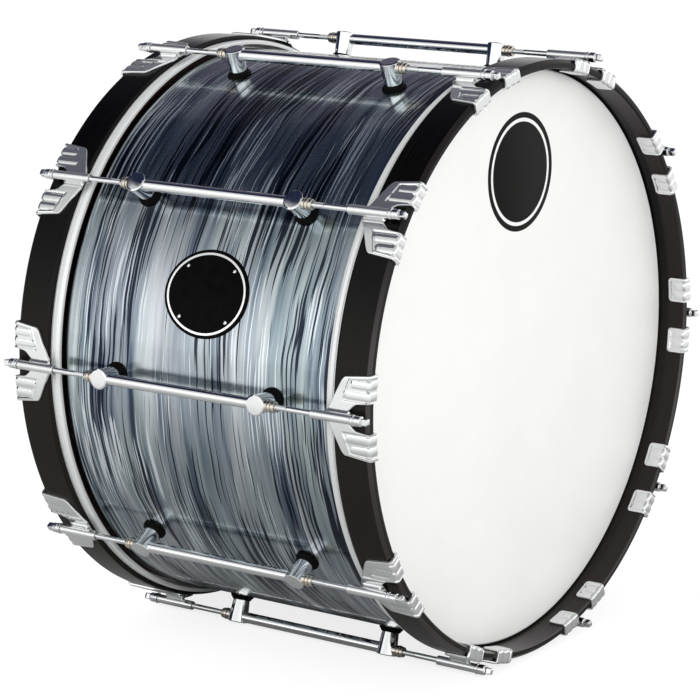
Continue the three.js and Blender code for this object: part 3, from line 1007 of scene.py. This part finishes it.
# %% [markdown]
# ## Badge plate
# An oval enamelled plate sits between two lugs, bent to the shell. A flat oval could be made
# and bent afterwards, but its edge would need mending. Rings of points, from its middle to its
# edge, are laid straight on the curve instead, and carry the height of the face, the raised
# line and the turned-down edge; four small rivets hold it to the shell.

# %% The badge's curve
BADGE_HALF_WIDTH, BADGE_HALF_HEIGHT, BADGE_X = 48.5, 42.0, 6.0
BADGE_ANGLE = lug_pitch * 2.0
BADGE_THICK, BADGE_GAP = 1.2, 0.1
OVAL_STEPS = 120


def on_badge(a, b, height):
    """A point of the plate: a along the drum, b round it, above the wrap."""
    radius = wrap_out + BADGE_GAP + height
    return BADGE_X + a, -radius * math.sin(b / wrap_out), radius * math.cos(b / wrap_out)


def oval_rows(profile):
    """Rings of an oval plate from (inset from the edge, height)."""
    angles = [2 * math.pi * k / OVAL_STEPS for k in range(OVAL_STEPS)]
    rows = []
    for inset, height in profile:
        wide, high = (max(v - inset, 0) for v in (BADGE_HALF_WIDTH, BADGE_HALF_HEIGHT))
        rows.append([on_badge(wide * math.cos(a), high * math.sin(a), height) for a in angles])
    return rows


print("badge", 2 * BADGE_HALF_WIDTH, "by", 2 * BADGE_HALF_HEIGHT, "mm")

# %% Badge plate, line and rivets
WHOLE_INSET = 60
LINE_HEIGHT, LINE_SINK = 0.18, 0.2
RIVET_ALONG, RIVET_ROUND = 27, 24
face_profile = [(WHOLE_INSET, BADGE_THICK)] + [(38 - 6 * k, BADGE_THICK) for k in range(6)]
face_profile += [(1.2, BADGE_THICK), (0.5, BADGE_THICK - 0.1), (0.1, BADGE_THICK - 0.4),
                 (0, BADGE_THICK - 0.7), (0, 0)]
face_profile += [(10 + 7 * k, 0) for k in range(5)] + [(WHOLE_INSET, 0)]
plate_mesh = Shape().sheet(oval_rows(face_profile)).mesh("badge_plate")
line_low, line_high = BADGE_THICK - LINE_SINK, BADGE_THICK + LINE_HEIGHT
line_profile = softened([(3.2, line_low, 0), (3.2, line_high, 0.1),
                         (5.4, line_high, 0.1), (5.4, line_low, 0)], 3)
line_mesh = Shape().sheet(oval_rows(line_profile), rows_meet=True).mesh("badge_line")


def about_rivet(hand, level):
    """Turns an outline round one of the rivets, outward from the plate."""
    return lambda along, u, v: on_badge(hand * RIVET_ALONG + u, level * RIVET_ROUND + v, along)


rivets = Shape()
for hand, level in ((1, 1), (1, -1), (-1, 1), (-1, -1)):
    rivets.turned([(0, 0), (0, 1.9), (1.3, 1.9), (1.7, 1.6), (1.95, 1.0), (2.05, 0)],
                  about_rivet(hand, level), 28)
badge_place = stand(BADGE_ANGLE)
piece("badge_face", plate_mesh, badge_enamel, "shell", badge_place,
      ["badge_plate"])
piece("badge_raised_line", line_mesh, chrome, "shell", badge_place)
piece("badge_rivets", rivets.mesh("badge_rivets", 30), chrome, "shell", badge_place)
print("badge plate faces", len(plate_mesh.polygons))

# %% [markdown]
# ## Print on the playing head
# The right head carries a dark roundel in ink. Painted into the film's finish it would blur at
# its rim, so it is a skin of ink a tenth of a millimetre thick: a disc and a ring round it.

# %% Roundel
INK_THICKNESS, INK_FOOT = 0.12, 0.02
ROUNDEL_Y, ROUNDEL_Z = 1.8, 183.0
ROUNDEL_RINGS = ((0, 48.5), (52.0, 57.5))


def about_roundel(along, u, v):
    """Turns an outline round the roundel's middle, outward from the film."""
    return film_top + along, ROUNDEL_Y + u, ROUNDEL_Z + v


roundel = Shape()
for inner, outer in ROUNDEL_RINGS:
    roundel.turned([(INK_FOOT, inner), (INK_THICKNESS, inner + 0.05 * (inner > 0)),
                    (INK_THICKNESS, outer - 0.1), (INK_THICKNESS - 0.04, outer),
                    (INK_FOOT, outer)], about_roundel, 160, closed=True)
piece("head_roundel", roundel.mesh("head_roundel", 30), print_ink, "right_head")
print("roundel radius", ROUNDEL_RINGS[-1][1], "mm")

# %% [markdown]
# ## Light, world and floor
# A bright drum is photographed in a white tent with the roof left dark, so that chrome gets
# its black lines and the wrap darkens towards its top. The world does this by the direction of
# a ray; what the camera sees directly stays white. Soft lamps give the shading. The floor
# shows as white too, but part of its light is real, so the drum's shadow stays on it.

# %% The tent, by direction
DIFFUSE_LEVEL = (0.83, 0.83, 0.825)
WHITE = (1.0, 1.0, 1.0)
ROOF_DARK, ROOF_SIDE = (0.018, 0.024, 0.056), (0.115, 0.108, 0.145)
BACK_LEAN, BACK_EDGE = 1.55, (1.108, 1.122)
ROOF_LEAN, ROOF_EDGE, BACK_ROOF_EDGE = 0.35, (0.855, 0.900), (0.22, 0.36)
WALL_HEIGHT, WALL_BRIGHT, WALL_DIM = (0.16, 0.60), 1.50, 0.66
LEFT_GAP = (-0.735, -0.63)

world = bpy.data.worlds.new("tent")
world.use_nodes = True
bpy.context.scene.world = world
world.node_tree.nodes.clear()
tent = Network(world.node_tree)
direction = tent.node("ShaderNodeTexCoord", {}, {}, "Generated")
rightward, toward_back, upward = tent.split(direction)
behind = tent.span(toward_back - rightward * BACK_LEAN, *BACK_EDGE, kind="SMOOTHSTEP")
front_roof = tent.span(upward - rightward * ROOF_LEAN, *ROOF_EDGE, kind="SMOOTHSTEP")
back_roof = tent.span(upward, *BACK_ROOF_EDGE, kind="SMOOTHSTEP")
wall = tent.span(upward, *WALL_HEIGHT, WALL_BRIGHT, WALL_DIM)
mirrored = tent.mix(behind, tent.mix(front_roof, tent.joined(wall, wall, wall), ROOF_DARK),
                    tent.mix(back_roof, WHITE, ROOF_SIDE))
left_gap = tent.span(rightward, *LEFT_GAP, 1, 0, "SMOOTHSTEP")
mirrored = tent.mix(left_gap, mirrored, ROOF_DARK)
print("nodes for what gloss mirrors:", len(world.node_tree.nodes))

# %% What each kind of ray meets


def ray_kinds(network):
    """Whether a ray comes from the camera, off gloss or through glass: 0 or 1 each."""
    return [network.node("ShaderNodeLightPath", {}, {}, kind)
            for kind in ("Is Camera Ray", "Is Glossy Ray", "Is Transmission Ray")]


is_camera, is_glossy, is_through = ray_kinds(tent)
seen = tent.mix(is_glossy.math("ADD", is_through, clamp=True), DIFFUSE_LEVEL, mirrored)
shown = tent.mix(is_camera, seen, WHITE)
background = tent.node("ShaderNodeBackground", {}, {"Color": shown, "Strength": 1.0})
tent.node("ShaderNodeOutputWorld", {}, {"Surface": background})
print("world nodes", len(world.node_tree.nodes))

# %% Lamps


def soft_lamp(name, place, size, watts):
    """A square area lamp that faces the drum's middle and doesn't show in its gloss."""
    data = bpy.data.lights.new(name, "AREA")
    data.size = size
    data.energy = watts
    lamp = bpy.data.objects.new(name, data)
    aim = Vector((0, 0, axis_height)) - Vector(place)
    turn = aim.to_track_quat("-Z", "Y").to_matrix().to_4x4()
    lamp.matrix_world = Matrix.Translation(place) @ turn
    lamp.visible_glossy = False
    bpy.context.scene.collection.objects.link(lamp)


soft_lamp("key_lamp", (-1.6, -3.0, 2.4), 2.0, 42)
soft_lamp("side_lamp", (2.7, -1.62, 1.25), 1.1, 40)
print("lamps:", [lamp.name for lamp in bpy.data.lights])

# %% Floor finish
FLOOR_OWN_LIGHT, FLOOR_GLOW = 0.55, 1.48
PAPER, PAPER_IN_GLOSS = (0.62, 0.62, 0.62), (0.42, 0.42, 0.42)
FAR_FROM_DRUM = (0.45, 1.5)
floor_finish = Finish("floor")
paper = floor_finish.noise(floor_finish.place(), 30, 3, 0.6)
is_camera, is_glossy, is_through = ray_kinds(floor_finish)
floor_finish.set(base_color=floor_finish.mix(is_glossy, PAPER, PAPER_IN_GLOSS),
                 roughness=floor_finish.span(paper, NOISE_LOW, NOISE_HIGH, 0.85, 0.95))
x, y, _ = floor_finish.split(floor_finish.place())
far = floor_finish.span((x * x + y * y).math("SQRT"), *FAR_FROM_DRUM)
looked_at = (is_camera + is_glossy * far).math("ADD", is_through, clamp=True)
glow = floor_finish.node("ShaderNodeEmission", {}, {"Color": WHITE, "Strength": FLOOR_GLOW})
surface = floor_finish.node("ShaderNodeMixShader", {}, {
    0: looked_at * FLOOR_OWN_LIGHT, 1: Value(floor_finish, floor_finish.shader.outputs[0]),
    2: glow})
floor_finish.plug(floor_finish.tree.nodes["Material Output"].inputs["Surface"], surface)
print("floor finish has", len(floor_finish.tree.nodes), "nodes")

# %% Floor
FLOOR_HALF = 9000
floor_rows = [[(x, y, 0) for x in (-FLOOR_HALF, FLOOR_HALF)] for y in (-FLOOR_HALF, FLOOR_HALF)]
floor_mesh = Shape().sheet(floor_rows, columns_meet=False).mesh("floor")
floor_mesh.materials.append(floor_finish.material)
floor = bpy.data.objects.new("floor", floor_mesh)
bpy.context.scene.collection.objects.link(floor)
print("floor is", 2 * FLOOR_HALF * MM, "m wide")

# %% [markdown]
# ## The view
# The scene shows its colours through the Standard view transform.

# %% View transform
scene = bpy.context.scene
scene.view_settings.view_transform = "Standard"
